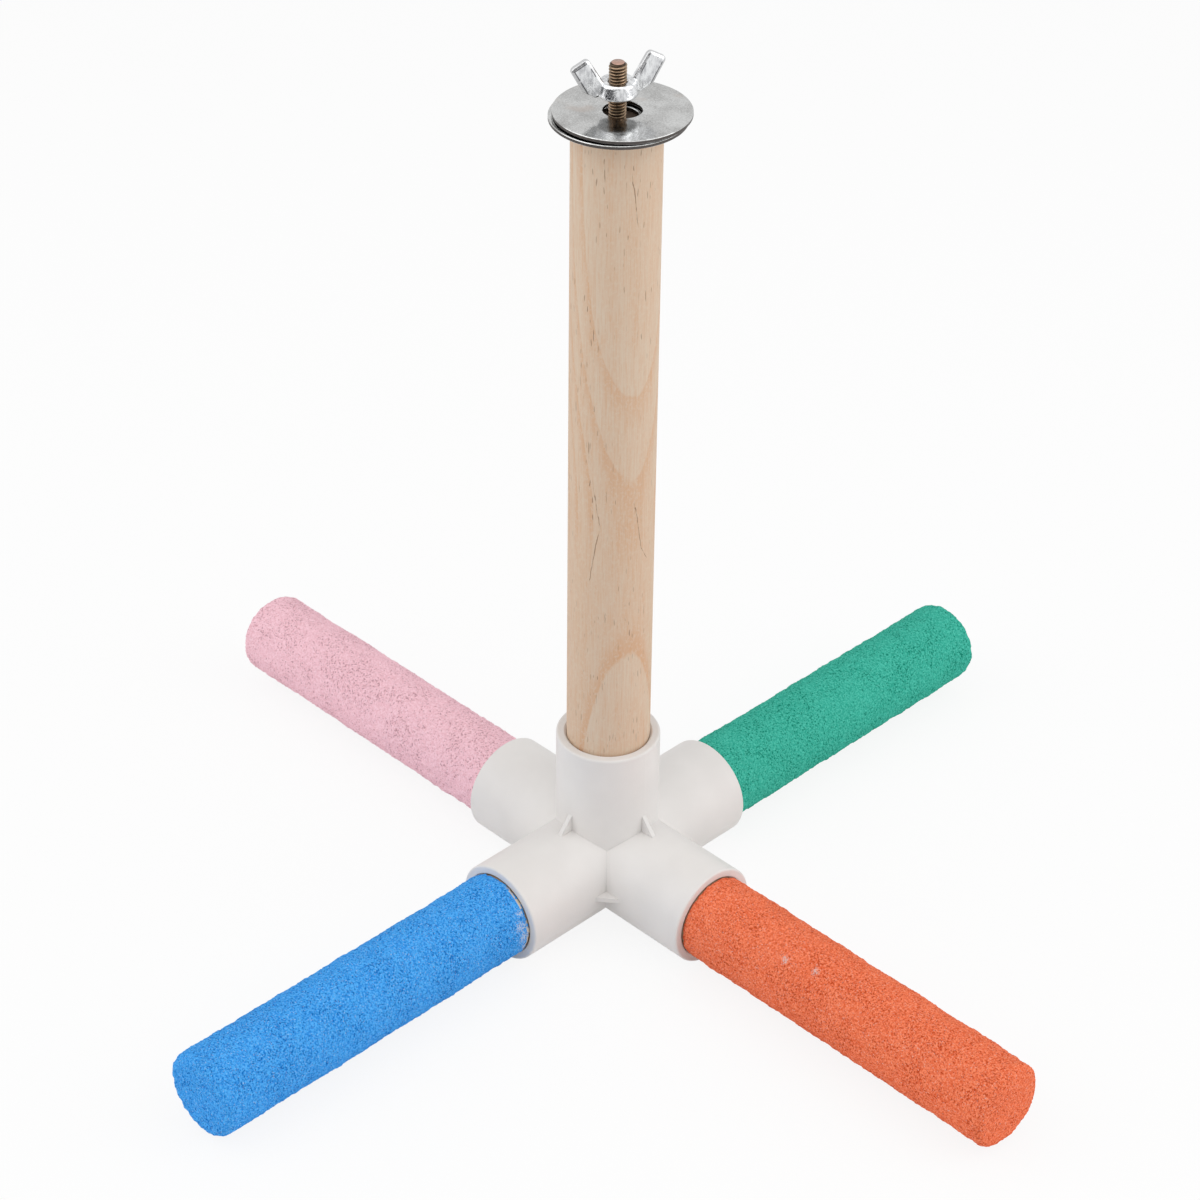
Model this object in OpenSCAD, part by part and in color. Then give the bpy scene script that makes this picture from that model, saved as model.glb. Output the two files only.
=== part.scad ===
// Bird perch for a cage: a pine upright in a five-way pipe fitting, four sand-coated perches in a cross,
// and a stud with two loose washers and a wing nut that clamps to the bars of the cage.
// Millimetres, +Z up. The origin is under the middle of the fitting, on the surface that it stands on.
// The perches point along -Y (blue), +X (orange), +Y (green) and -X (pink).

/* [Dowels] */
// Diameter of the wooden dowels
dowel_d = 20; // [16:1:25]
// Length of the upright
upright_length = 182; // [120:5:260]
// Length of the wooden core of each perch
perch_length = 112; // [80:5:160]
// Chamfer on the cut ends of the dowels
dowel_chamfer = 0.8; // [0.4:0.1:1.4]

/* [Sand coat] */
// Thickness of the sand coat
coat_t = 0.5; // [0.3:0.1:1]
// Radius of the coat's outer edge at the end of a perch
coat_edge_r = 2; // [1.4:0.1:3]
// Gap that shows between a socket's mouth and the coat
coat_gap = 0.3; // [0.2:0.1:1]

/* [Fitting] */
// Wall of the sockets
socket_wall = 2.4; // [2:0.1:3.5]
// Radial clearance of a dowel in its socket
socket_clearance = 0.1; // [0.05:0.01:0.1]
// Depth of the sockets
socket_depth = 21; // [15:1:26]
// Plastic between the bore of one socket and the stop of the next
stop_wall = 4.9; // [3.5:0.1:8]
// Width of the shoulder that stops a dowel
stop_shoulder = 2; // [1.5:0.1:3]
// Lead-in chamfer inside the mouth of a socket
mouth_lead = 0.5; // [0.3:0.1:1]
// Radius of the outer edge of a mouth
mouth_edge_r = 0.5; // [0.3:0.1:1]
// Length of the two legs of a corner web
web_leg = 4.5; // [3:0.1:7]
// Thickness of a corner web
web_t = 1.2; // [0.8:0.1:2]

/* [Stud] */
// Outer diameter of the stud's thread
stud_d = 3.9; // [3.4:0.1:4.4]
// Length of stud above the upright
stud_above = 13.2; // [12.6:0.1:24]
// Length of stud screwed into the upright
stud_below = 26; // [16:1:40]
// Chamfer on the top of the stud
stud_chamfer = 0.6; // [0.3:0.1:0.9]
// Length of the point at the bottom of the stud
stud_point = 4; // [2:0.5:6]

/* [Washers] */
// Outer diameter of both washers
washer_d = 30; // [24:1:38]
// Diameter of their hole
washer_hole_d = 8.5; // [8:0.1:10]
// Thickness of one washer
washer_t = 0.9; // [0.8:0.1:1.6]
// Chamfer left by stamping on a washer's edges
washer_chamfer = 0.15; // [0.1:0.05:0.3]
// Gap under the lower washer
seat_gap = 0.2; // [0.1:0.1:0.5]
// Gap between the two loose washers
washer_gap = 0.3; // [0.3:0.1:1.5]
// How far the lower washer lies off the stud's axis
lower_shift = 0.3; // [0:0.1:0.8]
// How far the upper washer lies off the stud's axis
upper_shift = 1.1; // [0:0.1:1.5]
// Direction of both shifts, from +X towards +Y
shift_angle = 45; // [0:5:360]

/* [Wing nut] */
// Height of the nut above the upper washer
nut_lift = 3.4; // [0.4:0.1:5]
// Direction of the wings, from +X towards +Y
nut_turn = 65; // [0:1:180]
// Radial clearance of the nut on the stud
nut_clearance = 0.05; // [0.02:0.01:0.1]
// Diameter of the collar at its base
collar_d = 8.8; // [8:0.1:9.4]
// Diameter of the collar at its top
collar_top_d = 8; // [7.2:0.1:8.2]
// Height of the collar
collar_h = 3.4; // [2.8:0.1:4.4]
// Chamfer on the collar's edges and in the mouths of its bore
collar_chamfer = 0.4; // [0.2:0.1:0.6]
// Distance of the middle of a wing's tip from the axis
wing_reach = 8.8; // [7.8:0.1:11]
// Height of the middle of a wing's tip above the nut's base
wing_rise = 8.3; // [7.4:0.1:11]
// Lean of the wings away from the axis
wing_lean = 29; // [20:1:40]
// Width of a wing
wing_w = 4.6; // [4:0.1:6]
// Length of the straight part of a wing
wing_l = 5.8; // [4.4:0.1:6.4]
// Thickness of a wing
wing_t = 1.7; // [1.2:0.1:2.4]
// Thickness of a wing at its bevelled border
wing_border_t = 1; // [0.6:0.1:1.2]
// Radius of a wing's corners
wing_corner_r = 1; // [0.9:0.1:1.5]
// Width of the bevelled border
wing_bevel = 0.6; // [0.2:0.05:0.8]

/* [Hidden] */
$fn = 96;
hull_fn = 32;
// Overrun of every cut past the face that it opens
cut = 1;
// Gap between a dowel's inner end and its stop
stop_gap = 0.3;
// Extra depth of the pilot hole below the stud's point
pilot_extra = 1;

dowel_r = dowel_d / 2;
bore_r = dowel_r + socket_clearance;
socket_r = bore_r + socket_wall;
stop_reach = bore_r + stop_wall;
mouth_reach = stop_reach + socket_depth;
waterway_r = bore_r - stop_shoulder;
axis_z = socket_r;
web_overlap = socket_wall / 2;

perch_start = stop_reach + stop_gap;
coat_start = mouth_reach + coat_gap - perch_start;
coat_r = dowel_r + coat_t;
core_edge_r = coat_edge_r - coat_t;

upright_z = axis_z + perch_start;
top_z = upright_z + upright_length;
stud_r = stud_d / 2;
lower_z = top_z + seat_gap;
upper_z = lower_z + washer_t + washer_gap;
nut_z = upper_z + washer_t + nut_lift;

BLUE_AT = -90;
ORANGE_AT = 0;
GREEN_AT = 90;
PINK_AT = 180;
PERCH_ANGLES = [BLUE_AT, ORANGE_AT, GREEN_AT, PINK_AT];

// Outline of a rod on the revolve axis, from the base up, with a chamfered foot and a rounded top edge
module rod_outline(r, l, foot, edge_r) {
  polygon([[0, 0], [r - foot, 0], [r, foot], [r, l - edge_r], [0, l - edge_r]]);
  square([r - edge_r, l]);
  translate([r - edge_r, l - edge_r]) circle(edge_r);
}

// Outline of the metal of a flat washer, beside the revolve axis
module washer_outline() {
  inner = washer_hole_d / 2;
  outer = washer_d / 2;
  c = washer_chamfer;
  polygon([
    [inner + c, 0], [outer - c, 0], [outer, c], [outer, washer_t - c],
    [outer - c, washer_t], [inner + c, washer_t], [inner, washer_t - c], [inner, c]
  ]);
}

// Lays a piece that stands on its end at the middle of the fitting down along one arm of the cross
module along_arm(angle) {
  translate([0, 0, axis_z]) rotate([0, 0, angle]) rotate([0, 90, 0]) children();
}

// One tube of the fitting, from its middle out to the mouth, without its bore
module socket_body() {
  rotate_extrude() {
    square([socket_r, mouth_reach - mouth_edge_r]);
    square([socket_r - mouth_edge_r, mouth_reach]);
    translate([socket_r - mouth_edge_r, mouth_reach - mouth_edge_r]) circle(mouth_edge_r);
  }
}

// The room inside one tube: the waterway, the shoulder that stops the dowel, the bore and its lead-in
module socket_bore() {
  rotate_extrude() polygon([
    [0, 0], [waterway_r, 0], [waterway_r, stop_reach], [bore_r, stop_reach],
    [bore_r, mouth_reach - mouth_lead], [bore_r + mouth_lead, mouth_reach],
    [bore_r + mouth_lead, mouth_reach + cut], [0, mouth_reach + cut]
  ]);
}

// A thin three-cornered web in the XZ plane, in the corner between tubes along +X and +Z
module corner_web() {
  corner = socket_r - web_overlap;
  leg = web_leg + web_overlap;
  rotate([90, 0, 0]) translate([corner, corner, -web_t / 2]) linear_extrude(web_t)
    polygon([[0, 0], [leg, 0], [web_overlap, leg], [0, leg]]);
}

module connector() {
  color([0.89, 0.88, 0.87]) difference() {
    union() {
      for (a = PERCH_ANGLES) {
        along_arm(a) socket_body();
        // upright web, between this level tube and the standing one
        translate([0, 0, axis_z]) rotate([0, 0, a]) corner_web();
        // level web, between this level tube and the next
        translate([0, 0, axis_z]) rotate([0, 0, a]) rotate([-90, 0, 0]) corner_web();
      }
      translate([0, 0, axis_z]) socket_body();
    }
    for (a = PERCH_ANGLES) along_arm(a) socket_bore();
    translate([0, 0, axis_z]) socket_bore();
  }
}

module upright_dowel() {
  color([0.87, 0.76, 0.62]) translate([0, 0, upright_z]) difference() {
    rotate_extrude() polygon([
      [0, 0], [dowel_r - dowel_chamfer, 0], [dowel_r, dowel_chamfer],
      [dowel_r, upright_length - dowel_chamfer], [dowel_r - dowel_chamfer, upright_length], [0, upright_length]
    ]);
    // pilot hole for the stud
    translate([0, 0, upright_length - stud_below - pilot_extra])
      cylinder(h = stud_below + pilot_extra + cut, r = stud_r);
  }
}

module hanger_bolt() {
  color([0.60, 0.47, 0.33]) translate([0, 0, top_z]) rotate_extrude() polygon([
    [0, -stud_below], [stud_r, stud_point - stud_below], [stud_r, stud_above - stud_chamfer],
    [stud_r - stud_chamfer, stud_above], [0, stud_above]
  ]);
}

module lower_washer() {
  color([0.66, 0.67, 0.68]) rotate([0, 0, shift_angle]) translate([lower_shift, 0, lower_z])
    rotate_extrude() washer_outline();
}

module upper_washer() {
  color([0.72, 0.73, 0.74]) rotate([0, 0, shift_angle]) translate([upper_shift, 0, upper_z])
    rotate_extrude() washer_outline();
}

// One rounded corner of a wing, a disc with a bevelled border
module wing_corner(x, z) {
  translate([x, 0, z]) rotate([90, 0, 0]) {
    cylinder(h = wing_border_t, r = wing_corner_r, center = true, $fn = hull_fn);
    cylinder(h = wing_t, r = wing_corner_r - wing_bevel, center = true, $fn = hull_fn);
  }
}

// A wing along +X: a bevelled plate that leans out, with its root in the collar
module wing() {
  across = wing_w / 2 - wing_corner_r;
  up = wing_l - wing_corner_r;
  // runs from the tip's middle down the lean, v from the knee up to the tip and u across the wing
  function on_wing(u, v) = [
    wing_reach - (wing_l - v) * sin(wing_lean) + u * cos(wing_lean),
    wing_rise - (wing_l - v) * cos(wing_lean) - u * sin(wing_lean)
  ];
  root_x = collar_top_d / 2 - wing_corner_r / 2;
  low_x = collar_d / 2 + wing_corner_r / 2;
  hull() {
    for (p = [
      on_wing(across, up), on_wing(-across, up), on_wing(across, 0), on_wing(-across, 0),
      [low_x, wing_corner_r + collar_chamfer / 2], [root_x, collar_h - 1.5 * wing_corner_r]
    ]) wing_corner(p[0], p[1]);
  }
}

module wing_nut() {
  nut_bore_r = stud_r + nut_clearance;
  c = collar_chamfer;
  color([0.80, 0.81, 0.84]) translate([0, 0, nut_z]) rotate([0, 0, nut_turn]) difference() {
    union() {
      rotate_extrude() polygon([
        [0, 0], [collar_d / 2 - c, 0], [collar_d / 2, c], [collar_top_d / 2, collar_h - c],
        [collar_top_d / 2 - c, collar_h], [0, collar_h]
      ]);
      wing();
      mirror([1, 0, 0]) wing();
    }
    translate([0, 0, -cut]) cylinder(h = wing_rise + 2 * cut, r = nut_bore_r);
    translate([0, 0, -cut]) cylinder(h = c + cut, r1 = nut_bore_r + c + cut, r2 = nut_bore_r);
    translate([0, 0, collar_h - c]) cylinder(h = c + cut, r1 = nut_bore_r, r2 = nut_bore_r + c + cut);
  }
}

module perch_core(angle) {
  color([0.84, 0.72, 0.57]) along_arm(angle) translate([0, 0, perch_start])
    rotate_extrude() intersection() {
      rod_outline(dowel_r, perch_length, dowel_chamfer, core_edge_r);
      square([dowel_r, perch_length]);
    }
}

module perch_coat(angle) {
  along_arm(angle) translate([0, 0, perch_start]) rotate_extrude() difference() {
    intersection() {
      rod_outline(coat_r, perch_length + coat_t, dowel_chamfer, coat_edge_r);
      translate([0, coat_start]) square([coat_r, perch_length + coat_t - coat_start]);
    }
    rod_outline(dowel_r, perch_length, dowel_chamfer, core_edge_r);
  }
}

module blue_core() { perch_core(BLUE_AT); }
module orange_core() { perch_core(ORANGE_AT); }
module green_core() { perch_core(GREEN_AT); }
module pink_core() { perch_core(PINK_AT); }
module blue_coat() { color([0.16, 0.53, 0.90]) perch_coat(BLUE_AT); }
module orange_coat() { color([0.93, 0.40, 0.24]) perch_coat(ORANGE_AT); }
module green_coat() { color([0.14, 0.65, 0.52]) perch_coat(GREEN_AT); }
module pink_coat() { color([0.91, 0.67, 0.76]) perch_coat(PINK_AT); }

connector();
upright_dowel();
hanger_bolt();
lower_washer();
upper_washer();
wing_nut();
blue_core();
blue_coat();
orange_core();
orange_coat();
green_core();
green_coat();
pink_core();
pink_coat();
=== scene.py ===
# %% [markdown]
# # Looks of a bird perch
# A bird perch hangs in a cage from its top: a bare pine upright ends in a stud with two wide washers and a
# wing nut, and a white five-way fitting at its foot holds four coloured, sand-coated perches. The shapes
# come from the CAD frame. This lesson gives them their surfaces, replaces the pieces whose surface is a
# shape of its own (the sand coats, the thread, the cast wing nut), and sets up the studio and the camera.

import math

import bmesh
import bpy
import numpy as np
from mathutils import Matrix, Vector, noise


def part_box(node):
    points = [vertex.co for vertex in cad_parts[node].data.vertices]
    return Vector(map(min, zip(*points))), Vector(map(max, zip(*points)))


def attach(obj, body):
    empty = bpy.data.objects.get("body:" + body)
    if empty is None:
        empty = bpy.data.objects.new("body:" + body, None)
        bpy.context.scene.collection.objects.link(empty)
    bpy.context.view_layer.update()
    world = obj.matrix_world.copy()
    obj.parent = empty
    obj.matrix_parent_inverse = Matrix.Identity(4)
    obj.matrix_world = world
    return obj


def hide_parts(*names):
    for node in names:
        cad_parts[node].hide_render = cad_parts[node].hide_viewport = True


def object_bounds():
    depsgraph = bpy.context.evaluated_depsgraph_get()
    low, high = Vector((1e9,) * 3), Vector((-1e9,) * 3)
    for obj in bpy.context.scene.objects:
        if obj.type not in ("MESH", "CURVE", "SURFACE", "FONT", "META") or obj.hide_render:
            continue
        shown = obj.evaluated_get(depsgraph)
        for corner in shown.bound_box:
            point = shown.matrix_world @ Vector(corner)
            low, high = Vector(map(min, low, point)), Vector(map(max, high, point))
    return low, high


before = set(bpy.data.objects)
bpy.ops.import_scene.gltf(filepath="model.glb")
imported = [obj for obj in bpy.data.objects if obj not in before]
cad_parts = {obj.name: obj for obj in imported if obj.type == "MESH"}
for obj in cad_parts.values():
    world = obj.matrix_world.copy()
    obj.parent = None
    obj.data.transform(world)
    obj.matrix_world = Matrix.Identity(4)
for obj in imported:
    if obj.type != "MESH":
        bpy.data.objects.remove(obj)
cad_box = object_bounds()
MM = 0.001
print("CAD box in mm:", [[round(v / MM, 1) for v in corner] for corner in cad_box])

# %% [markdown]
# ## Measures
# Everything that is built here sits on the CAD model, so its places are read from the boxes of the CAD
# nodes. The perches lie along the arms of a cross, and one of them gives the sizes of all four.

# %% Measures from the frame
coat_low, coat_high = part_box("orange_coat")
core_low, core_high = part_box("orange_core")
stud_low, stud_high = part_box("hanger_bolt")
SOCKET_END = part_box("connector")[1].x
WOOD_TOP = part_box("upright_dowel")[1].z

AXIS_Z = (core_low.z + core_high.z) / 2
CORE_R = (core_high.z - core_low.z) / 2
COAT_R = (coat_high.z - coat_low.z) / 2
COAT_START = coat_low.x
COAT_END = coat_high.x
CORE_END = core_high.x
STUD_R = (stud_high.x - stud_low.x) / 2
print(f"coat {COAT_START / MM:.1f} to {COAT_END / MM:.1f} mm, radius {COAT_R / MM:.2f} on {CORE_R / MM:.2f}")

# %% [markdown]
# ## Shader helpers
# A material is a small network, and most of its steps are the same few: a coordinate that is stretched, a
# noise, a threshold and a mix of two colours. A helper for each keeps the recipes below short enough to
# read.


# %% Shader helpers
def new_material(name):
    material = bpy.data.materials.new(name)
    material.use_nodes = True
    return material


def put(material, kind, inputs=None, **settings):
    """One shader node. Inputs are numbers or sockets, by the name or the place of the socket."""
    tree = material.node_tree
    made = tree.nodes.new(kind)
    for key, value in settings.items():
        setattr(made, key, value)
    for key, value in (inputs or {}).items():
        if isinstance(value, bpy.types.NodeSocket):
            tree.links.new(value, made.inputs[key])
        else:
            made.inputs[key].default_value = value
    return made


def place(material, scale=(1, 1, 1), turn=(0, 0, 0), shift=(0, 0, 0), point=None):
    """The surface point in the piece's own frame, or the point given instead, turned and stretched."""
    if point is None:
        point = put(material, "ShaderNodeTexCoord").outputs["Object"]
    mapping = put(material, "ShaderNodeMapping", {"Vector": point}, vector_type="POINT")
    mapping.inputs["Scale"].default_value = scale
    mapping.inputs["Rotation"].default_value = turn
    mapping.inputs["Location"].default_value = shift
    return mapping.outputs["Vector"]


def grain(material, vector, size, detail=2.0, rough=0.5):
    """Noise from 0 to 1 with features of about that size, in metres."""
    values = {"Vector": vector, "Scale": 1 / size, "Detail": detail, "Roughness": rough}
    return put(material, "ShaderNodeTexNoise", values).outputs["Fac"]


def step(material, value, low, high, out_low=0.0, out_high=1.0):
    """A smooth step of value from low to high."""
    values = {"Value": value, "From Min": low, "From Max": high, "To Min": out_low, "To Max": out_high}
    return put(material, "ShaderNodeMapRange", values, interpolation_type="SMOOTHSTEP").outputs["Result"]


def calc(material, operation, a, b=0.0, c=0.0):
    return put(material, "ShaderNodeMath", {0: a, 1: b, 2: c}, operation=operation).outputs[0]


def mix(material, factor, a, b):
    """From colour a to colour b by a factor from 0 to 1."""
    made = put(material, "ShaderNodeMix", data_type="RGBA")
    colour_inputs = [s for s in made.inputs if s.type == "RGBA"]
    factor_input = made.inputs["Factor"]
    for socket, value in ((factor_input, factor), (colour_inputs[0], a), (colour_inputs[1], b)):
        if isinstance(value, bpy.types.NodeSocket):
            material.node_tree.links.new(value, socket)
        elif socket is factor_input:
            socket.default_value = value
        else:
            socket.default_value = (*value, 1)
    return next(s for s in made.outputs if s.type == "RGBA")


def bump(material, height, depth, normal=None):
    """Bump whose full height is that depth, in metres."""
    values = {"Height": height, "Distance": depth, "Strength": 1.0}
    if normal is not None:
        values["Normal"] = normal
    return put(material, "ShaderNodeBump", values).outputs["Normal"]


def screen(red, green, blue):
    """A colour by its values on a screen, 0 to 255, as the linear values that a shader wants."""
    shares = [min(max(value, 0), 254) / 255 for value in (red, green, blue)]
    return tuple(v / 12.92 if v <= 0.04045 else ((v + 0.055) / 1.055) ** 2.4 for v in shares)


def finish_with(material, **sockets):
    """Sets or links the inputs of the material's shader."""
    shader = material.node_tree.nodes["Principled BSDF"]
    for key, value in sockets.items():
        socket = shader.inputs[key.replace("_", " ").title().replace("Ior", "IOR")]
        if isinstance(value, bpy.types.NodeSocket):
            material.node_tree.links.new(value, socket)
        else:
            socket.default_value = (*value, 1) if isinstance(value, tuple) else value
    return material


def dress(name, material):
    """Gives a CAD node its material."""
    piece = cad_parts[name]
    piece.data.materials.clear()
    piece.data.materials.append(material)


# %% [markdown]
# ## White fitting
# The fitting is moulded from white, slightly warm plastic. Its surface is satin: the mould's fine texture
# scatters the light, and the only marks are faint clouds. The creases stay sharp, but every outer edge is a
# little round, which a bevel in the shading gives.

# %% White fitting
PLASTIC = (0.80, 0.775, 0.755)
PLASTIC_SHADE = (0.76, 0.735, 0.715)
DUST_CLOUDS = 14 * MM
MOULD_TEXTURE = 0.35 * MM
MOULD_DEPTH = 0.02 * MM
MOULD_EDGE = 0.3 * MM


def white_plastic():
    m = new_material("white_plastic")
    here = place(m)
    clouds = step(m, grain(m, here, DUST_CLOUDS, 3), 0.3, 0.7)
    colour = mix(m, clouds, PLASTIC, PLASTIC_SHADE)
    rounded = put(m, "ShaderNodeBevel", {"Radius": MOULD_EDGE}, samples=6).outputs["Normal"]
    texture = calc(m, "ADD", grain(m, here, MOULD_TEXTURE, 2), grain(m, here, 6 * MM, 2))
    shine = step(m, grain(m, here, 3 * MM, 4), 0.2, 0.8, 0.42, 0.52)
    return finish_with(
        m, base_color=colour, roughness=shine, normal=bump(m, texture, MOULD_DEPTH, rounded),
        specular_ior_level=0.35,
    )


dress("connector", white_plastic())

# %% [markdown]
# ## Pine
# A dowel is turned from flat-sawn pine, so the growth rings, which are cylinders round the tree's middle
# (the pith), cut its face in tall arches. A ring here is the distance from a line behind the dowel, plus a
# rise that grows with the height above or below the middle and then levels off. That gives round arches
# that open upwards and others that open downwards, as on the real dowel. Each ring darkens slowly and ends
# sharply, and late wood is warmer than early wood, rather than much darker. The last ring is cut off before
# its end. Below the middle the innermost ring fades out, so only one arch is left there, and the wood
# inside that arch is the palest.

# %% Pine: the growth rings
PINE_PALE = (0.69, 0.575, 0.452)
PINE_DARK = (0.635, 0.35, 0.188)
RING_WIDTH = 3.4 * MM
PITH_DEPTH = 40 * MM
PITH_TURN = math.radians(20)
SADDLE_Z = 112 * MM
BOW = 10 * MM
BOW_REACH = 48 * MM
FIRST_RING = CORE_R + PITH_DEPTH + 4.1 * MM
LAST_PHASE = 0.62
ARCH_PALER = 0.5


def growth_rings(m, point):
    """0 in pale wood, 1 in the dark wood where a ring ends, and below 0 inside the lowest arch."""
    parts = put(m, "ShaderNodeSeparateXYZ", {"Vector": place(m, turn=(0, 0, PITH_TURN), point=point)})
    deep, side, up = parts.outputs
    above = calc(m, "DIVIDE", calc(m, "SUBTRACT", up, SADDLE_Z), BOW_REACH)
    depth = calc(m, "ADD", deep, PITH_DEPTH)
    squared = calc(m, "ADD", calc(m, "MULTIPLY", side, side), calc(m, "MULTIPLY", depth, depth))
    level = calc(m, "EXPONENT", calc(m, "MULTIPLY", calc(m, "MULTIPLY", above, above), -1.0))
    bowed = calc(m, "MULTIPLY_ADD", level, -BOW, BOW)
    ring = calc(m, "ADD", calc(m, "SQRT", squared), bowed)
    slow = grain(m, place(m, (1, 1, 0.22), point=point), 7 * MM, 2)
    quick = grain(m, place(m, (1, 1, 0.3), point=point), 1.2 * MM, 2)
    ring = calc(m, "MULTIPLY_ADD", calc(m, "SUBTRACT", slow, 0.5), 0.9 * MM, ring)
    ring = calc(m, "MULTIPLY_ADD", calc(m, "SUBTRACT", quick, 0.5), 0.2 * MM, ring)
    counted = calc(m, "DIVIDE", calc(m, "SUBTRACT", ring, FIRST_RING), RING_WIDTH)
    rings = calc(m, "MINIMUM", counted, LAST_PHASE)
    phase = calc(m, "FRACT", rings)
    late = calc(m, "MULTIPLY", step(m, phase, 0.45, 0.94), step(m, phase, 0.95, 1.0, 1.0, 0.0))
    in_saddle = calc(m, "LESS_THAN", rings, -1.0)
    faded = calc(m, "MULTIPLY", in_saddle, step(m, up, SADDLE_Z - 14 * MM, SADDLE_Z + 4 * MM, 1.0, 0.0))
    late = calc(m, "MULTIPLY", late, calc(m, "SUBTRACT", 1.0, faded))
    in_arch = calc(m, "MULTIPLY", step(m, rings, 0.0, 0.02), calc(m, "LESS_THAN", up, SADDLE_Z))
    return calc(m, "MULTIPLY_ADD", in_arch, -ARCH_PALER, late)


# %% [markdown]
# Pine's other marks are its resin canals, which a lathe opens as short dark dashes along the grain. The
# turned face is unrolled into a plane and cut into long, narrow cells, and some of the cells get a dash in
# their middle, more of them where a ring is dark. Two sizes are laid over each other, and fine fibres and
# pale streaks run through all of it. A few long cracks filled with resin follow the limbs of the arches, so
# they are laid out one by one: each is a line up the dowel that leans, wanders and thins out to both ends.
# The end grain under the washers is painted nearly black: a stain from the stud, with painted shade under
# the washers in it. The perches are cut from the same wood. Their grain runs along their arms, and a ring at
# the mouths of the sockets is painted darker: a glue stain from the coats, with painted shade from the gap
# between coat and socket in it.

# %% Pine: dashes, fibres and the wood itself
RESIN = (0.30, 0.185, 0.115)
PERCH_PALE = (0.66, 0.53, 0.39)
PERCH_DARK = (0.52, 0.33, 0.19)
# Stain with painted shade in it: the end grain under the washers, and the perches' ring at the sockets'
# mouths.
END_STAIN_AND_SHADE = (0.10, 0.07, 0.05)
GLUE_STAIN_AND_SHADE = (0.42, 0.30, 0.20)
END_STAIN_AND_SHADE_DEPTH = 0.4 * MM
GLUE_STAIN_AND_SHADE_RING = 1.4 * MM
FIBRE = 0.3 * MM
STREAK = 3 * MM
MOTTLE = 0.6 * MM
PATCH = 8 * MM
WOOD_GRAIN_DEPTH = 0.04 * MM
SMALL_DASHES = {"across": 0.9 * MM, "along": 7 * MM, "share": 0.42, "widest": 0.17}
LONG_DASHES = {"across": 1.7 * MM, "along": 21 * MM, "share": 0.35, "widest": 0.095}
CRACKS = [
    (-4.6, 202.0, -2.9, 188.8, 0.13),
    (-10.4, 205.0, -10.1, 199.6, 0.11),
    (-13.4, 135.0, -13.4, 130.2, 0.11),
    (-12.4, 125.5, -10.4, 112.3, 0.12),
    (-10.5, 113.0, -13.2, 95.8, 0.11),
    (-2.6, 119.5, -0.3, 105.2, 0.12),
    (-0.6, 106.4, 2.0, 102.0, 0.10),
]


def wood_point(m, lying):
    """The surface point with the wood's own axis as z: upwards, or outwards along a lying perch."""
    point = put(m, "ShaderNodeTexCoord").outputs["Object"]
    if not lying:
        return point
    x, y, z = put(m, "ShaderNodeSeparateXYZ", {"Vector": point}).outputs
    far_x, far_y = calc(m, "ABSOLUTE", x), calc(m, "ABSOLUTE", y)
    on_x = calc(m, "GREATER_THAN", far_x, far_y)
    across_x_arm = calc(m, "MULTIPLY", on_x, y)
    across_y_arm = calc(m, "MULTIPLY", calc(m, "SUBTRACT", 1.0, on_x), x)
    return put(m, "ShaderNodeCombineXYZ", {
        "X": calc(m, "ADD", across_x_arm, across_y_arm),
        "Y": calc(m, "SUBTRACT", z, AXIS_Z),
        "Z": calc(m, "MAXIMUM", far_x, far_y),
    }).outputs[0]


def unrolled(m, point):
    """The distance round the dowel from +X, and the height, of a point on the turned face."""
    wander = calc(m, "MULTIPLY", grain(m, place(m, (1, 1, 0.3), point=point), 1.5 * MM), 0.9 * MM)
    x, y, z = put(m, "ShaderNodeSeparateXYZ", {"Vector": point}).outputs
    return calc(m, "MULTIPLY_ADD", calc(m, "ARCTAN2", y, x), CORE_R, wander), z


def cracks(m, point, around, z):
    """Long thin lines from one point of the unrolled face down to another, in mm, with their half width."""
    found = 0.0
    for top_place, top_z, low_place, low_z, width in CRACKS:
        lean = (top_place - low_place) / (top_z - low_z)
        middle, half = (top_z + low_z) / 2 * MM, (top_z - low_z) / 2 * MM
        line = calc(m, "MULTIPLY_ADD", z, lean, (top_place - lean * top_z + 0.45) * MM)
        off = calc(m, "DIVIDE", calc(m, "ABSOLUTE", calc(m, "SUBTRACT", around, line)), width * MM)
        from_middle = calc(m, "ABSOLUTE", calc(m, "SUBTRACT", z, middle))
        end = calc(m, "POWER", calc(m, "DIVIDE", from_middle, half), 4)
        found = calc(m, "MAXIMUM", found, step(m, calc(m, "ADD", off, end), 0.6, 1.1, 1.0, 0.0))
    uneven = grain(m, place(m, (1, 1, 0.4), point=point), 1.2 * MM)
    return calc(m, "MULTIPLY", found, step(m, uneven, 0.36, 0.5, 0.25, 1.0))


def dashes(m, around, z, across, along, share, widest):
    """Short dark dashes in cells of that size, as wide as a share of their cell at most."""
    flat = put(m, "ShaderNodeCombineXYZ", {
        "X": calc(m, "DIVIDE", around, across), "Y": calc(m, "DIVIDE", z, along),
    }).outputs[0]
    found = put(m, "ShaderNodeTexVoronoi", {"Vector": flat, "Scale": 1.0}, voronoi_dimensions="2D")
    chosen = put(m, "ShaderNodeSeparateColor", {"Color": found.outputs["Color"]}).outputs[0]
    width = put(m, "ShaderNodeMapRange", {
        "Value": chosen, "From Min": 1 - share, "From Max": 1.0, "To Min": 0.35 * widest, "To Max": widest,
    }).outputs["Result"]
    away = calc(m, "DIVIDE", found.outputs["Distance"], width)
    return calc(m, "MULTIPLY", step(m, away, 0.6, 1.0, 1.0, 0.0), calc(m, "GREATER_THAN", chosen, 1 - share))


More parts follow.
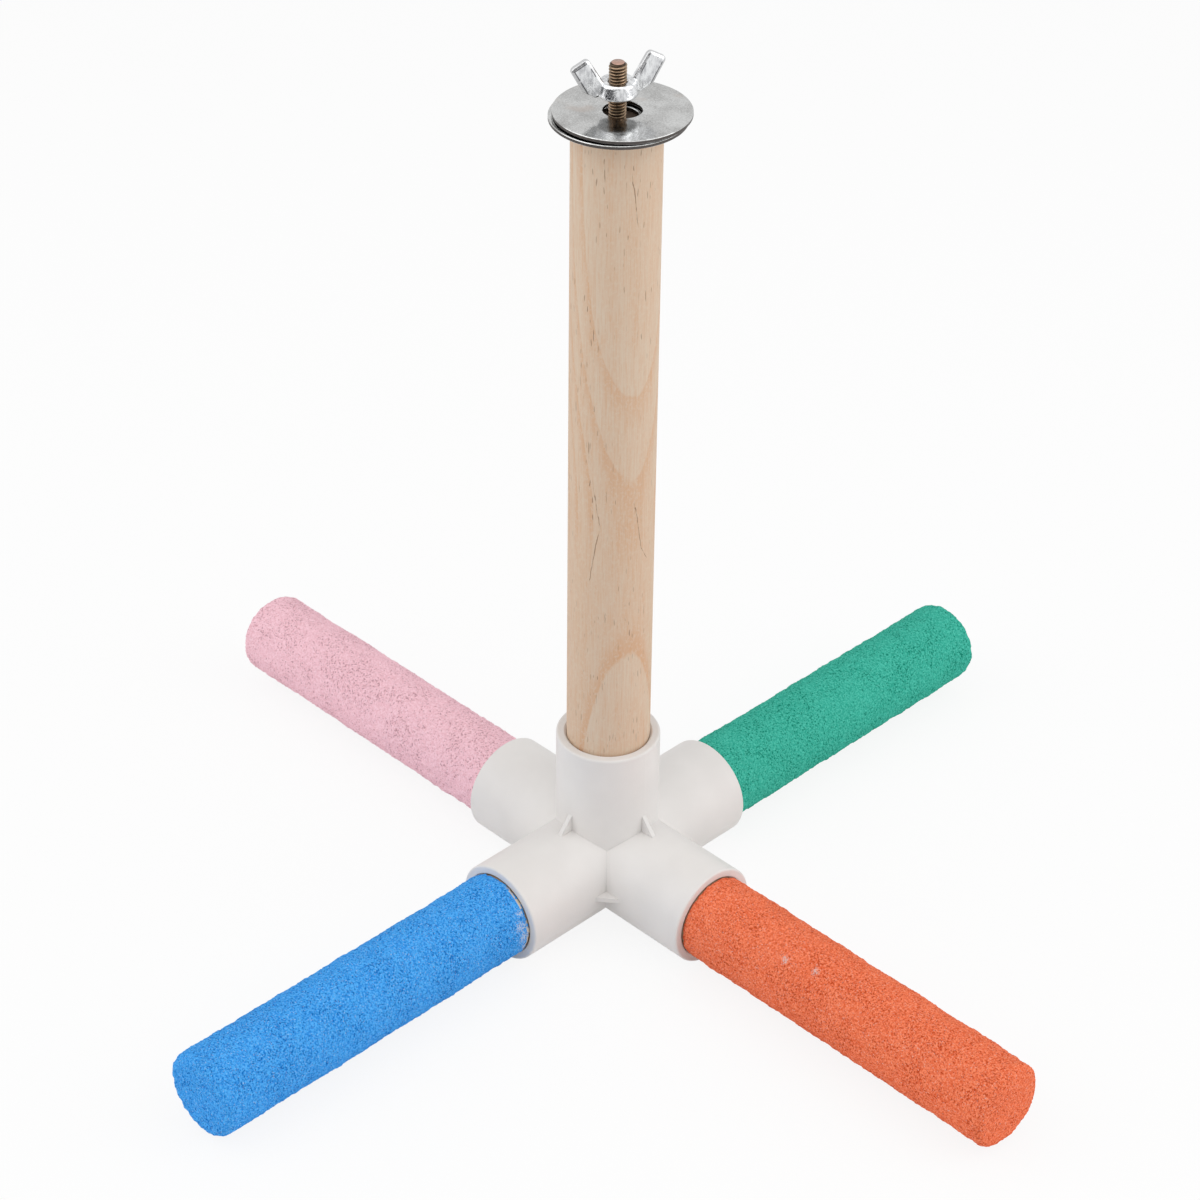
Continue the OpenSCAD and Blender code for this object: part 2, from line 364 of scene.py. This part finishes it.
def pine(name, pale, dark, lying, darkening, darkening_from):
    m = new_material(name)
    point = wood_point(m, lying)
    fibres = grain(m, place(m, (1, 1, 0.04), point=point), FIBRE, 3, 0.6)
    streaks = grain(m, place(m, (1, 1, 0.06), point=point), STREAK, 2)
    mottle = grain(m, place(m, (1, 1, 0.6), point=point), MOTTLE, 3, 0.65)
    rings = growth_rings(m, point)
    around, z = unrolled(m, point)
    drift = step(m, z, 50 * MM, 190 * MM, 0.12, -0.09)
    tone = calc(m, "MULTIPLY_ADD", rings, 0.36, calc(m, "MULTIPLY_ADD", streaks, 0.45, drift))
    wood = mix(m, tone, pale, dark)
    wood = mix(m, step(m, fibres, 0.35, 0.75, 0.0, 0.42), wood, dark)
    wood = mix(m, step(m, mottle, 0.45, 0.7, 0.0, 0.5), wood, pale)
    small = dashes(m, around, z, **SMALL_DASHES)
    long = dashes(m, around, z, **LONG_DASHES)
    patches = step(m, grain(m, place(m, (1, 1, 0.5), point=point), PATCH, 1), 0.42, 0.58, 0.15, 1.0)
    often = calc(m, "MULTIPLY", step(m, rings, 0.0, 0.6, 0.6, 1.0), patches)
    canals = calc(m, "MULTIPLY", calc(m, "MAXIMUM", small, long), often)
    canals = calc(m, "MAXIMUM", canals, cracks(m, point, around, z))
    wood = mix(m, calc(m, "MULTIPLY", canals, 0.85), wood, RESIN)
    # A band painted darker, a stain with painted shade in it: under the washers on the upright, and at the
    # sockets' mouths on the perches.
    wood = mix(m, step(m, z, darkening_from, darkening_from + 0.3 * MM), wood, darkening)
    height = calc(m, "SUBTRACT", fibres, canals)
    return finish_with(
        m, base_color=wood, roughness=step(m, fibres, 0.3, 0.7, 0.58, 0.72),
        normal=bump(m, height, WOOD_GRAIN_DEPTH), specular_ior_level=0.3,
    )


bare_pine = pine("bare_pine", PINE_PALE, PINE_DARK, False, END_STAIN_AND_SHADE, WOOD_TOP - END_STAIN_AND_SHADE_DEPTH)
perch_wood = pine("perch_wood", PERCH_PALE, PERCH_DARK, True, GLUE_STAIN_AND_SHADE, COAT_START - GLUE_STAIN_AND_SHADE_RING)
dress("upright_dowel", bare_pine)
for colour in ("blue", "orange", "green", "pink"):
    dress(f"{colour}_core", perch_wood)

# %% [markdown]
# ## Galvanised washers
# The washers are stamped from galvanised sheet. The zinc is cloudy and lightly scuffed, and still bright
# enough to mirror the nut, though the sheet's slow waves break the picture up. The sheared edge is dull, and
# its faces are painted nearly black as painted shade and a painted dark reflection; a thin bright line runs
# along its corners. It is a metal shader whose colour and roughness both wander.

# %% Galvanised washers
ZINC_PALE = (0.60, 0.605, 0.60)
ZINC_DULL = (0.36, 0.358, 0.352)
RUST_TINT = (0.46, 0.40, 0.36)
# Painted shade and a painted dark reflection on the sheared edge faces.
SHEARED_AND_SHADED = (0.10, 0.09, 0.085)
ZINC_CLOUDS = 6 * MM
SPANGLE = 0.34 * MM
SCRATCH = 0.25 * MM
FINE_DEPTH = 0.010 * MM
SHEET_WAVES = 3.2 * MM
SHEET_WAVE_DEPTH = 0.14 * MM
SHEET_CORNER = 0.12 * MM


def galvanised_steel():
    m = new_material("galvanised_steel")
    here = place(m)
    clouds = grain(m, here, ZINC_CLOUDS, 4, 0.6)
    spangle = grain(m, here, SPANGLE, 3, 0.7)
    tone = calc(m, "MULTIPLY_ADD", clouds, 0.6, calc(m, "MULTIPLY", spangle, 0.75))
    colour = mix(m, step(m, tone, 0.5, 0.86), ZINC_PALE, ZINC_DULL)
    tinted = step(m, grain(m, place(m, shift=(0.02, 0.05, 0)), 9 * MM, 2), 0.62, 0.75, 0.0, 0.5)
    colour = mix(m, tinted, colour, RUST_TINT)
    scratches = grain(m, place(m, (1, 0.06, 1), (0, 0, 0.5)), SCRATCH, 2)
    rough = calc(m, "ADD", step(m, clouds, 0.3, 0.7, 0.08, 0.17), step(m, spangle, 0.3, 0.8, 0.0, 0.06))
    facing = put(m, "ShaderNodeTexCoord").outputs["Normal"]
    flatness = calc(m, "ABSOLUTE", put(m, "ShaderNodeSeparateXYZ", {"Vector": facing}).outputs[2])
    # The edge faces: rougher for the dull sheared steel, and painted nearly black as painted shade and a
    # painted dark reflection.
    sheared_and_shaded = step(m, flatness, 0.2, 0.6, 1.0, 0.0)
    colour = mix(m, sheared_and_shaded, colour, SHEARED_AND_SHADED)
    rough = calc(m, "MULTIPLY_ADD", sheared_and_shaded, 0.25, rough)
    rounded = put(m, "ShaderNodeBevel", {"Radius": SHEET_CORNER}, samples=6).outputs["Normal"]
    waves = bump(m, grain(m, here, SHEET_WAVES, 1), SHEET_WAVE_DEPTH, rounded)
    height = calc(m, "MULTIPLY_ADD", scratches, 0.5, spangle)
    return finish_with(
        m, base_color=colour, metallic=1.0, roughness=rough, normal=bump(m, height, FINE_DEPTH, waves),
    )


galvanised = galvanised_steel()
dress("lower_washer", galvanised)
dress("upper_washer", galvanised)

# %% [markdown]
# ## Meshes from rings
# The thread and the sand coats are both a stack of rings of points round an axis. One helper joins a stack
# into a closed mesh: quads between the rings, and a fan of triangles over each end.


# %% Meshes from rings
def mesh_from_rings(name, rings, material):
    """A closed mesh object from an array of rings, rings by points by 3, in metres."""
    count, around = rings.shape[:2]
    points = np.concatenate([rings.reshape(-1, 3), rings[0].mean(0)[None], rings[-1].mean(0)[None]])
    bottom, top = count * around, count * around + 1
    faces = []
    for row in range(count - 1):
        low, high = row * around, (row + 1) * around
        for i in range(around):
            j = (i + 1) % around
            faces.append((low + i, low + j, high + j, high + i))
    last = (count - 1) * around
    for i in range(around):
        j = (i + 1) % around
        faces.append((bottom, j, i))
        faces.append((top, last + i, last + j))
    mesh = bpy.data.meshes.new(name)
    mesh.from_pydata(points.tolist(), [], faces)
    mesh.shade_smooth()
    mesh.materials.append(material)
    piece = bpy.data.objects.new(name, mesh)
    bpy.context.scene.collection.objects.link(piece)
    return piece


# %% [markdown]
# ## The threaded stud
# The stud is a hanger bolt: a machine thread above the wood, to take the wing nut, and a wood screw with a
# point below it. A thread is a radius that rises and falls once for each pitch along a helix, so the mesh
# is a stack of rings whose radius follows the height plus a share of the angle.

# %% The threaded stud
PITCH = 0.7 * MM
THREAD_DEPTH = 0.42 * MM
SCREW_PITCH = 1.7 * MM
SCREW_DEPTH = 0.6 * MM
SCREW_TOP = WOOD_TOP - 9 * MM
THREAD_END = WOOD_TOP - 7 * MM
STUD_AROUND = 40
SCREW_RINGS = 130
THREAD_RINGS = 300
STUD_CHAMFER = 0.6 * MM
POINT = 4 * MM


def ridge(phase, crest=0.12, root=0.22):
    """A thread's profile: 1 on the crest, 0 in the root, straight flanks between."""
    away = np.abs((phase % 1) - 0.5) * 2
    return 1 - np.clip((away - crest) / (1 - crest - root), 0, 1)


BRONZE = (0.43, 0.30, 0.20)
BRONZE_STAIN = (0.19, 0.14, 0.085)
# Painted shade in the thread's roots.
THREAD_ROOT_SHADE = (0.045, 0.03, 0.02)
CUT_FACE = (0.46, 0.29, 0.23)


def bronze_plating():
    m = new_material("bronze_plated_steel")
    here = place(m)
    darkening = grain(m, here, 1.6 * MM, 4, 0.6)
    colour = mix(m, step(m, darkening, 0.35, 0.7), BRONZE, BRONZE_STAIN)
    x, y, z = put(m, "ShaderNodeSeparateXYZ", {"Vector": here}).outputs
    radius = calc(m, "SQRT", calc(m, "ADD", calc(m, "MULTIPLY", x, x), calc(m, "MULTIPLY", y, y)))
    on_top = calc(m, "GREATER_THAN", z, stud_high.z - 0.05 * MM)
    # Painted shade: the roots of the thread are painted nearly black.
    root_shade = step(m, radius, STUD_R - THREAD_DEPTH, STUD_R - 0.25 * THREAD_DEPTH, 1.0, 0.0)
    colour = mix(m, root_shade, colour, THREAD_ROOT_SHADE)
    colour = mix(m, on_top, colour, CUT_FACE)
    rough = step(m, darkening, 0.3, 0.7, 0.25, 0.4)
    return finish_with(m, base_color=colour, metallic=0.9, roughness=rough, normal=bump(m, darkening, 0.02 * MM))


def threaded_stud():
    angles = np.linspace(0, 2 * math.pi, STUD_AROUND, endpoint=False)
    turn = angles / (2 * math.pi)
    levels = np.concatenate([
        np.linspace(stud_low.z, SCREW_TOP, SCREW_RINGS),
        np.linspace(THREAD_END, stud_high.z, THREAD_RINGS),
    ])
    rings = []
    for z in levels:
        if z <= SCREW_TOP:
            body = min(1.0, (z - stud_low.z) / POINT + 0.05)
            thread = ridge(z / SCREW_PITCH - turn, 0.05, 0.45)
            radius = body * (STUD_R - SCREW_DEPTH * (1 - thread))
        else:
            thread = ridge(z / PITCH - turn)
            radius = STUD_R - THREAD_DEPTH * (1 - thread)
            radius = np.minimum(radius, STUD_R - STUD_CHAMFER + (stud_high.z - z))
        circle = [radius * np.cos(angles), radius * np.sin(angles), np.full(STUD_AROUND, z)]
        rings.append(np.stack(circle, 1))
    return mesh_from_rings("threaded_stud", np.array(rings), bronze_plating())


stud = threaded_stud()
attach(stud, "upright")
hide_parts("hanger_bolt")
print("stud:", len(stud.data.vertices), "points")

# %% [markdown]
# ## The cast wing nut
# A wing nut is die-cast in zinc and plated bright. The CAD solid has its true form with hard edges. Casting
# and plating soften them, so a copy is remeshed into a fine skin and smoothed until the edges and the roots
# of the wings flow. The bore stays as round as it was, because smoothing a closed ring only shrinks it a
# little. The border of a wing is a little rougher and is painted greyer, a painted reflection, and a broken
# line of painted shade runs in the thin step beside it. Both follow the wing's outline, so the shader works
# out how far inside the outline a point of a wing lies.

# %% The cast wing nut
SKIN = 0.11 * MM
SMOOTHING = 12
ZINC_BRIGHT = (0.80, 0.81, 0.82)
ZINC_GREY = (0.50, 0.505, 0.52)
# Painted reflection on the wings' borders, and painted shade in the step beside them.
ZINC_BORDER_REFLECTION = (0.52, 0.52, 0.525)
ZINC_STEP_SHADE = (0.07, 0.07, 0.075)
WING_LEAN = math.radians(29)
WING_REACH = 8.8 * MM
WING_RISE = 8.3 * MM
WING_HALF = 2.3 * MM
BORDER = 0.66 * MM
COLLAR_R = 4.4 * MM
CAST_WAVES = 1.8 * MM
CAST_FLOW = 0.55 * MM
CAST_MARKS = 0.35 * MM
CAST_DEPTH = 0.04 * MM
nut_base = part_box("wing_nut")[0].z


def inside_outline(m):
    """How far a point of a wing lies inside the wing's outline, and how surely it is on a wing at all."""
    x, y, z = put(m, "ShaderNodeSeparateXYZ", {"Vector": place(m)}).outputs
    out = calc(m, "SQRT", calc(m, "ADD", calc(m, "MULTIPLY", x, x), calc(m, "MULTIPLY", y, y)))
    past_tip = calc(m, "SUBTRACT", out, WING_REACH)
    above_tip = calc(m, "SUBTRACT", z, nut_base + WING_RISE)
    lean_c, lean_s = math.cos(WING_LEAN), math.sin(WING_LEAN)
    below = calc(m, "MULTIPLY_ADD", past_tip, -lean_s, calc(m, "MULTIPLY", above_tip, -lean_c))
    beside = calc(m, "MULTIPLY_ADD", past_tip, lean_c, calc(m, "MULTIPLY", above_tip, -lean_s))
    inset = calc(m, "MINIMUM", below, calc(m, "SUBTRACT", WING_HALF, calc(m, "ABSOLUTE", beside)))
    return inset, step(m, out, COLLAR_R + 0.1 * MM, COLLAR_R + 0.8 * MM)


def bright_zinc():
    m = new_material("bright_zinc")
    here = place(m)
    waves = grain(m, here, CAST_WAVES, 2)
    flow = grain(m, place(m, (1, 1, 0.22)), CAST_FLOW, 3, 0.6)
    marks = grain(m, here, CAST_MARKS, 3, 0.6)
    tone = calc(m, "MULTIPLY_ADD", waves, 0.45, calc(m, "MULTIPLY", flow, 0.6))
    colour = mix(m, step(m, tone, 0.44, 0.66), ZINC_BRIGHT, ZINC_GREY)
    inset, on_wing = inside_outline(m)
    border = calc(m, "MULTIPLY", step(m, inset, 0.8 * BORDER, BORDER, 1.0, 0.0), on_wing)
    from_step = calc(m, "ABSOLUTE", calc(m, "SUBTRACT", inset, BORDER))
    broken = step(m, waves, 0.42, 0.52)
    in_step = calc(m, "MULTIPLY", step(m, from_step, 0.05 * MM, 0.2 * MM, 1.0, 0.0), on_wing)
    step_shade = calc(m, "MULTIPLY", in_step, broken)
    # Painted reflection: the border is painted greyer than the bright zinc. Painted shade: a broken dark
    # line in the step beside it.
    colour = mix(m, calc(m, "MULTIPLY", border, 0.8), colour, ZINC_BORDER_REFLECTION)
    colour = mix(m, calc(m, "MULTIPLY", step_shade, 0.85), colour, ZINC_STEP_SHADE)
    rough = calc(m, "MULTIPLY_ADD", border, 0.08, step(m, marks, 0.3, 0.75, 0.10, 0.24))
    height = calc(m, "ADD", calc(m, "MULTIPLY_ADD", waves, 3.0, marks), flow)
    normal = bump(m, height, CAST_DEPTH)
    return finish_with(m, base_color=colour, metallic=1.0, roughness=rough, normal=normal)


def cast_wing_nut():
    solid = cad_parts["wing_nut"].data
    shape = bmesh.new()
    shape.from_mesh(solid)
    bmesh.ops.remove_doubles(shape, verts=shape.verts, dist=0.001 * MM)
    mesh = bpy.data.meshes.new("wing_nut_cast")
    shape.to_mesh(mesh)
    shape.free()
    mesh.materials.clear()
    mesh.materials.append(bright_zinc())
    piece = bpy.data.objects.new("wing_nut_cast", mesh)
    bpy.context.scene.collection.objects.link(piece)
    skin = piece.modifiers.new("skin", "REMESH")
    skin.mode = "VOXEL"
    skin.voxel_size = SKIN
    skin.use_smooth_shade = True
    soften = piece.modifiers.new("soften", "SMOOTH")
    soften.factor = 0.5
    soften.iterations = SMOOTHING
    return piece


nut = cast_wing_nut()
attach(nut, "wing_nut")
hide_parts("wing_nut")

# %% [markdown]
# ## Sand coats
# Each perch is dipped in coloured sand and glue. The coat is a rough crust: broad swellings from the drip,
# lumps a few millimetres wide, single grains, and deep pits between them. The lumps and grains show in the
# outline, so they are real shape: a dense stack of rings along the perch, moved out and in by layers of
# noise. The finest pits are bump in the material, and painted shade darkens their colour. However ragged
# its edge is, a coat stops just short of its socket, because the two are separate pieces and the perch
# pulls out.

# %% Sand coats: the shape
COAT_STEP = 0.36 * MM
EDGE_R = 2.0 * MM
COAT_AROUND = 184
EDGE_CREEP = 0.12 * MM
EDGE_ROOM = 0.04 * MM
SWELL = (11 * MM, 0.20 * MM)
LUMPS = (1.9 * MM, 0.26 * MM)
GRAINS = (0.85 * MM, 0.34 * MM)
RAGGED = {"blue": 0.45 * MM, "orange": 0.18 * MM, "green": 0.15 * MM, "pink": 0.2 * MM}
ARM_TURN = {"blue": -90, "orange": 0, "green": 90, "pink": 180}


def coat_profile():
    """Points (along, radius) of the coat's outer skin, from the ragged edge to the middle of the end."""
    start = COAT_START - EDGE_CREEP
    points = [(start, CORE_R + 0.05 * MM), (start, COAT_R - 0.15 * MM)]
    straight = np.arange(COAT_START + COAT_STEP, COAT_END - EDGE_R, COAT_STEP)
    points += [(x, COAT_R) for x in straight]
    for a in np.linspace(0, math.pi / 2, 9):
        points.append((COAT_END - EDGE_R + EDGE_R * math.sin(a), COAT_R - EDGE_R + EDGE_R * math.cos(a)))
    points += [(COAT_END, r) for r in np.arange(COAT_R - EDGE_R - COAT_STEP, 0.3 * MM, -COAT_STEP)]
    return points


def crust(point, seed):
    """How far the sand stands out at a point, in metres."""
    here = point + seed
    swell = noise.noise(here / SWELL[0]) * SWELL[1]
    lumps = noise.noise(here / LUMPS[0]) * LUMPS[1]
    nearest = noise.voronoi(here / GRAINS[0])[0][0]
    grains = (0.45 - nearest) * GRAINS[1]
    return swell + lumps + grains


def sand_coat(colour, material):
    angles = np.linspace(0, 2 * math.pi, COAT_AROUND, endpoint=False)
    seed = Vector((0.1, 0.2, 0.3)) * (1 + list(ARM_TURN).index(colour))
    inner = [(CORE_END, r) for r in (0.3 * MM, CORE_R - 1.5 * MM)]
    inner += [(CORE_END - 0.5 * MM, CORE_R - 0.4 * MM), (CORE_END - 1.5 * MM, CORE_R)]
    inner += [(x, CORE_R) for x in np.linspace(CORE_END - 8 * MM, COAT_START + 2 * MM, 8)]
    outer = coat_profile()
    tilt = [(b[0] - a[0], b[1] - a[1]) for a, b in zip(outer[:-1], outer[1:])]
    tilt.append(tilt[-1])
    arm = Matrix.Translation((0, 0, AXIS_Z)) @ Matrix.Rotation(math.radians(ARM_TURN[colour]), 4, "Z")
    rings = []
    for x, r in inner:
        rings.append([arm @ Vector((x, r * math.cos(a), r * math.sin(a))) for a in angles])
    for (x, r), (dx, dr) in zip(outer, tilt):
        length = math.hypot(dx, dr)
        out_x, out_r = -dr / length, dx / length
        near_edge = max(0.0, 1 - (x - COAT_START) / (1.2 * MM))
        ring = []
        for a in angles:
            c, s = math.cos(a), math.sin(a)
            at = Vector((x, r * c, r * s))
            h = crust(at, seed)
            if out_x > 0.5:
                h *= min(1.0, r / (3 * MM))
            if r < CORE_R + 0.1 * MM and x <= COAT_START:
                h, out_x, out_r = 0.0, 0.0, 1.0
            ragged = RAGGED[colour] * near_edge * noise.noise((at + seed) / (1.1 * MM))
            along = max(x + h * out_x + ragged, SOCKET_END + EDGE_ROOM)
            ring.append(arm @ Vector((along, (r + h * out_r) * c, (r + h * out_r) * s)))
        rings.append(ring)
    return mesh_from_rings(f"{colour}_sand", np.array(rings), material)


# %% [markdown]
# ## Sand coats: the colour
# The glue is tinted, so the sand takes one strong colour. Over the grains' own uneven tone, it is painted
# paler where the grains stand high, a painted sheen, and deeper between them, painted shade. Pits are
# scattered through it, thick in some patches and thin in others, and painted shade darkens them. The blue
# coat has chipped next to its socket, where pale grains and a thin line of bare glue show, and the orange
# one has two scuffs.

# %% Sand coats: the colour
SAND = {
    "blue": (66, 160, 248),
    "orange": (251, 121, 82),
    "green": (66, 180, 158),
    "pink": (252, 200, 211),
}
# Grain tone, with painted sheen on high grains and painted shade between them.
GRAIN_TONE_SHEEN_AND_SHADE = {"blue": 24, "orange": 23, "green": 18, "pink": 13}
# Painted shade in the pits.
PIT_SHADE_TONE = 52
BARE_GRAIN = screen(222, 222, 220)
BARE_GLUE = screen(226, 212, 190)
SAND_GRAIN = 0.46 * MM
PIT = 0.45 * MM
PIT_CLOUDS = 8 * MM
SAND_DEPTH = 0.12 * MM
WORN = {
    "blue": [
        (8.6, -37.6, 18.4, 1.6), (9.9, -38.4, 15.4, 2.8), (10.3, -37.8, 12.4, 3.0), (10.0, -37.4, 9.0, 2.4),
    ],
    "orange": [(65.2, -6.5, 20.7, 1.9), (73.5, -5.3, 21.6, 1.7)],
}


def worn_spots(m, spots):
    """Where the tinted glue is gone: fine specks that thin out from the middle of each spot."""
    worn = 0.0
    for x, y, z, size in spots:
        values = {0: place(m), 1: (x * MM, y * MM, z * MM)}
        away = put(m, "ShaderNodeVectorMath", values, operation="DISTANCE").outputs["Value"]
        worn = calc(m, "MAXIMUM", worn, step(m, away, 0.0, size * MM, 1.0, 0.0))
    specks = grain(m, place(m, shift=(0.01, 0.02, 0.03)), 0.32 * MM, 2, 0.6)
    return step(m, calc(m, "MULTIPLY_ADD", worn, 0.22, specks), 0.58, 0.78)


def chipped_edge(m):
    """A thin, broken line of bare glue along the blue coat's edge, on the side that faces right."""
    x, y, z = put(m, "ShaderNodeSeparateXYZ", {"Vector": place(m)}).outputs
    edge = step(m, y, -COAT_START - 0.75 * MM, -COAT_START - 0.45 * MM)
    side = step(m, x, 2 * MM, 5 * MM)
    broken = step(m, grain(m, place(m), 1.3 * MM, 2), 0.42, 0.5)
    return calc(m, "MULTIPLY", calc(m, "MULTIPLY", edge, side), broken)


def sand(colour):
    m = new_material(f"{colour}_sand")
    here = place(m)
    deep, pale, pit_shade = (
        screen(*(value + shift for value in SAND[colour]))
        for shift in (-GRAIN_TONE_SHEEN_AND_SHADE[colour], GRAIN_TONE_SHEEN_AND_SHADE[colour], -PIT_SHADE_TONE)
    )
    grains = grain(m, here, SAND_GRAIN, 3, 0.65)
    # Painted sheen and shade: paler where the grains stand high and deeper between them, over their own
    # uneven tone.
    tint = mix(m, step(m, grains, 0.34, 0.66), deep, pale)
    level = step(m, grain(m, here, PIT_CLOUDS, 3), 0.35, 0.65, 0.31, 0.385)
    hollow = calc(m, "SUBTRACT", grain(m, place(m, shift=(0.03, 0.07, 0.11)), PIT, 1.5), level)
    pits = step(m, hollow, 0.0, 0.05, 1.0, 0.0)
    # Painted shade: the pits are painted darker than the sand.
    tint = mix(m, calc(m, "MULTIPLY", pits, 0.85), tint, pit_shade)
    if colour in WORN:
        tint = mix(m, calc(m, "MULTIPLY", worn_spots(m, WORN[colour]), 0.65), tint, BARE_GRAIN)
    if colour == "blue":
        tint = mix(m, chipped_edge(m), tint, BARE_GLUE)
    height = calc(m, "MULTIPLY_ADD", pits, -0.8, grains)
    return finish_with(
        m, base_color=tint, roughness=0.95, normal=bump(m, height, SAND_DEPTH), specular_ior_level=0.02,
    )


for colour in ARM_TURN:
    coat = sand_coat(colour, sand(colour))
    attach(coat, f"{colour}_perch")
    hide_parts(f"{colour}_coat")
    print(coat.name, len(coat.data.polygons), "faces")

# %% [markdown]
# ## Studio
# The photograph was taken in a white tent: bright from both sides and above, a little darker from the
# camera. The floor and the world look white to the camera and to glossy surfaces, and light the object at a
# plain level, so its colours come out as they are written.


# %% Studio: world and floor
TENT_LIGHT = 0.51
FLOOR_SIZE = 12.0
FLOOR_GLOW = 0.88
FLOOR_DROP = 0.1 * MM


def white_world(strength):
    world = bpy.data.worlds.new("tent")
    world.use_nodes = True
    bpy.context.scene.world = world
    tree = world.node_tree
    background = tree.nodes["Background"]
    background.inputs["Color"].default_value = (1, 1, 1, 1)
    rays = tree.nodes.new("ShaderNodeLightPath")
    seen = tree.nodes.new("ShaderNodeMath")
    seen.operation = "MAXIMUM"
    tree.links.new(rays.outputs["Is Camera Ray"], seen.inputs[0])
    tree.links.new(rays.outputs["Is Glossy Ray"], seen.inputs[1])
    level = tree.nodes.new("ShaderNodeMapRange")
    level.inputs["To Min"].default_value = strength
    level.inputs["To Max"].default_value = 1.0
    tree.links.new(seen.outputs[0], level.inputs["Value"])
    tree.links.new(level.outputs["Result"], background.inputs["Strength"])


def pale_floor(size):
    m = new_material("paper_floor")
    rays = put(m, "ShaderNodeLightPath").outputs
    seen = calc(m, "MAXIMUM", rays["Is Camera Ray"], rays["Is Glossy Ray"])
    shader = m.node_tree.nodes["Principled BSDF"]
    shader.inputs["Base Color"].default_value = (0.9, 0.9, 0.9, 1)
    shader.inputs["Roughness"].default_value = 0.9
    glow = put(m, "ShaderNodeEmission", {"Color": (1, 1, 1, 1), "Strength": 1.0})
    share = calc(m, "MULTIPLY", seen, FLOOR_GLOW)
    blend = put(m, "ShaderNodeMixShader", {0: share, 1: shader.outputs["BSDF"], 2: glow.outputs["Emission"]})
    out = m.node_tree.nodes["Material Output"]
    m.node_tree.links.new(blend.outputs[0], out.inputs["Surface"])
    bpy.ops.mesh.primitive_plane_add(size=size, location=(0, 0, cad_box[0].z - FLOOR_DROP))
    floor = bpy.context.object
    floor.name = "floor"
    floor.data.materials.append(m)


white_world(TENT_LIGHT)
pale_floor(FLOOR_SIZE)

# %% [markdown]
# ## Studio: lights and camera
# Two tall soft boxes stand at the left and the right, and a wide one hangs above. They are as big as the
# tent's walls, so they don't glare in the metal. Bright metal only looks like metal when it has something
# dark to mirror, so dark and grey cards stand on the camera's side, and nothing but reflections can see
# them. The camera repeats the photograph's: it looks along the diagonal between the front perches and down
# by more than a third of a right angle, from three quarters of a metre away.

# %% Studio: lights, cards and camera
CAMERA_AZIMUTH = math.radians(45.018)
CAMERA_ELEVATION = math.radians(34.70)
CAMERA_ROLL = math.radians(0.72)
CAMERA_DISTANCE = 750 * MM
CAMERA_FOCUS = 3220.7
PHOTO_WIDTH = 1200
AIM_SIDE = -2.36 * MM
AIM_Z = 73.81 * MM + AXIS_Z
SENSOR = 36.0
LAMP_TARGET = 0.08
LAMP_DISTANCE = 1.1
CARD_BLACK = (0.03, 0.03, 0.035)
CARD_GREY = (0.22, 0.22, 0.22)


def face_towards(thing, target, azimuth, elevation, distance):
    """Puts a thing in that direction from a height on the axis, facing it. Azimuth 0 is the camera's."""
    a = CAMERA_AZIMUTH + math.radians(azimuth)
    e = math.radians(elevation)
    away = Vector((math.sin(a) * math.cos(e), -math.cos(a) * math.cos(e), math.sin(e)))
    thing.location = Vector((0, 0, target)) + away * distance
    thing.rotation_euler = away.to_track_quat("Z", "Y").to_euler()


def soft_box(name, azimuth, elevation, size, watts):
    data = bpy.data.lights.new(name, "AREA")
    data.shape = "RECTANGLE"
    data.size, data.size_y = size
    data.energy = watts
    lamp = bpy.data.objects.new(name, data)
    bpy.context.scene.collection.objects.link(lamp)
    face_towards(lamp, LAMP_TARGET, azimuth, elevation, LAMP_DISTANCE)


def dark_card(name, azimuth, elevation, distance, size, colour=CARD_BLACK):
    m = new_material(name)
    finish_with(m, base_color=colour, roughness=1.0)
    bpy.ops.mesh.primitive_plane_add(size=1)
    card = bpy.context.object
    card.name = name
    card.scale = (*size, 1)
    card.data.materials.append(m)
    face_towards(card, stud_high.z, azimuth, elevation, distance)
    card.visible_camera = card.visible_diffuse = card.visible_shadow = False


soft_box("left_box", -75, 25, (1.1, 1.5), 5.0)
soft_box("right_box", 75, 25, (0.9, 1.2), 4.6)
soft_box("top_box", 10, 80, (1.5, 1.5), 4.3)
dark_card("low_card", -45, -10, 0.45, (0.56, 0.14))
dark_card("front_card", -5, 16, 1.2, (0.7, 0.4))
dark_card("grey_card", 4, 37, 1.2, (0.7, 0.44), CARD_GREY)


def photo_camera():
    az, el, roll = CAMERA_AZIMUTH, CAMERA_ELEVATION, CAMERA_ROLL
    ahead = Vector((-math.sin(az) * math.cos(el), math.cos(az) * math.cos(el), -math.sin(el)))
    level_right = Vector((math.cos(az), math.sin(az), 0))
    level_up = level_right.cross(ahead)
    right = level_right * math.cos(roll) + level_up * math.sin(roll)
    up = level_up * math.cos(roll) - level_right * math.sin(roll)
    aim = level_right * AIM_SIDE + Vector((0, 0, AIM_Z))
    data = bpy.data.cameras.new("photo_camera")
    data.sensor_width = SENSOR
    data.lens = CAMERA_FOCUS / PHOTO_WIDTH * SENSOR
    data.clip_start, data.clip_end = 0.01, 10
    camera = bpy.data.objects.new("photo_camera", data)
    turn = Matrix((right, up, -ahead)).transposed().to_4x4()
    camera.matrix_world = Matrix.Translation(aim - ahead * CAMERA_DISTANCE) @ turn
    bpy.context.scene.collection.objects.link(camera)
    bpy.context.scene.camera = camera


photo_camera()
bpy.context.scene.view_settings.view_transform = "Standard"
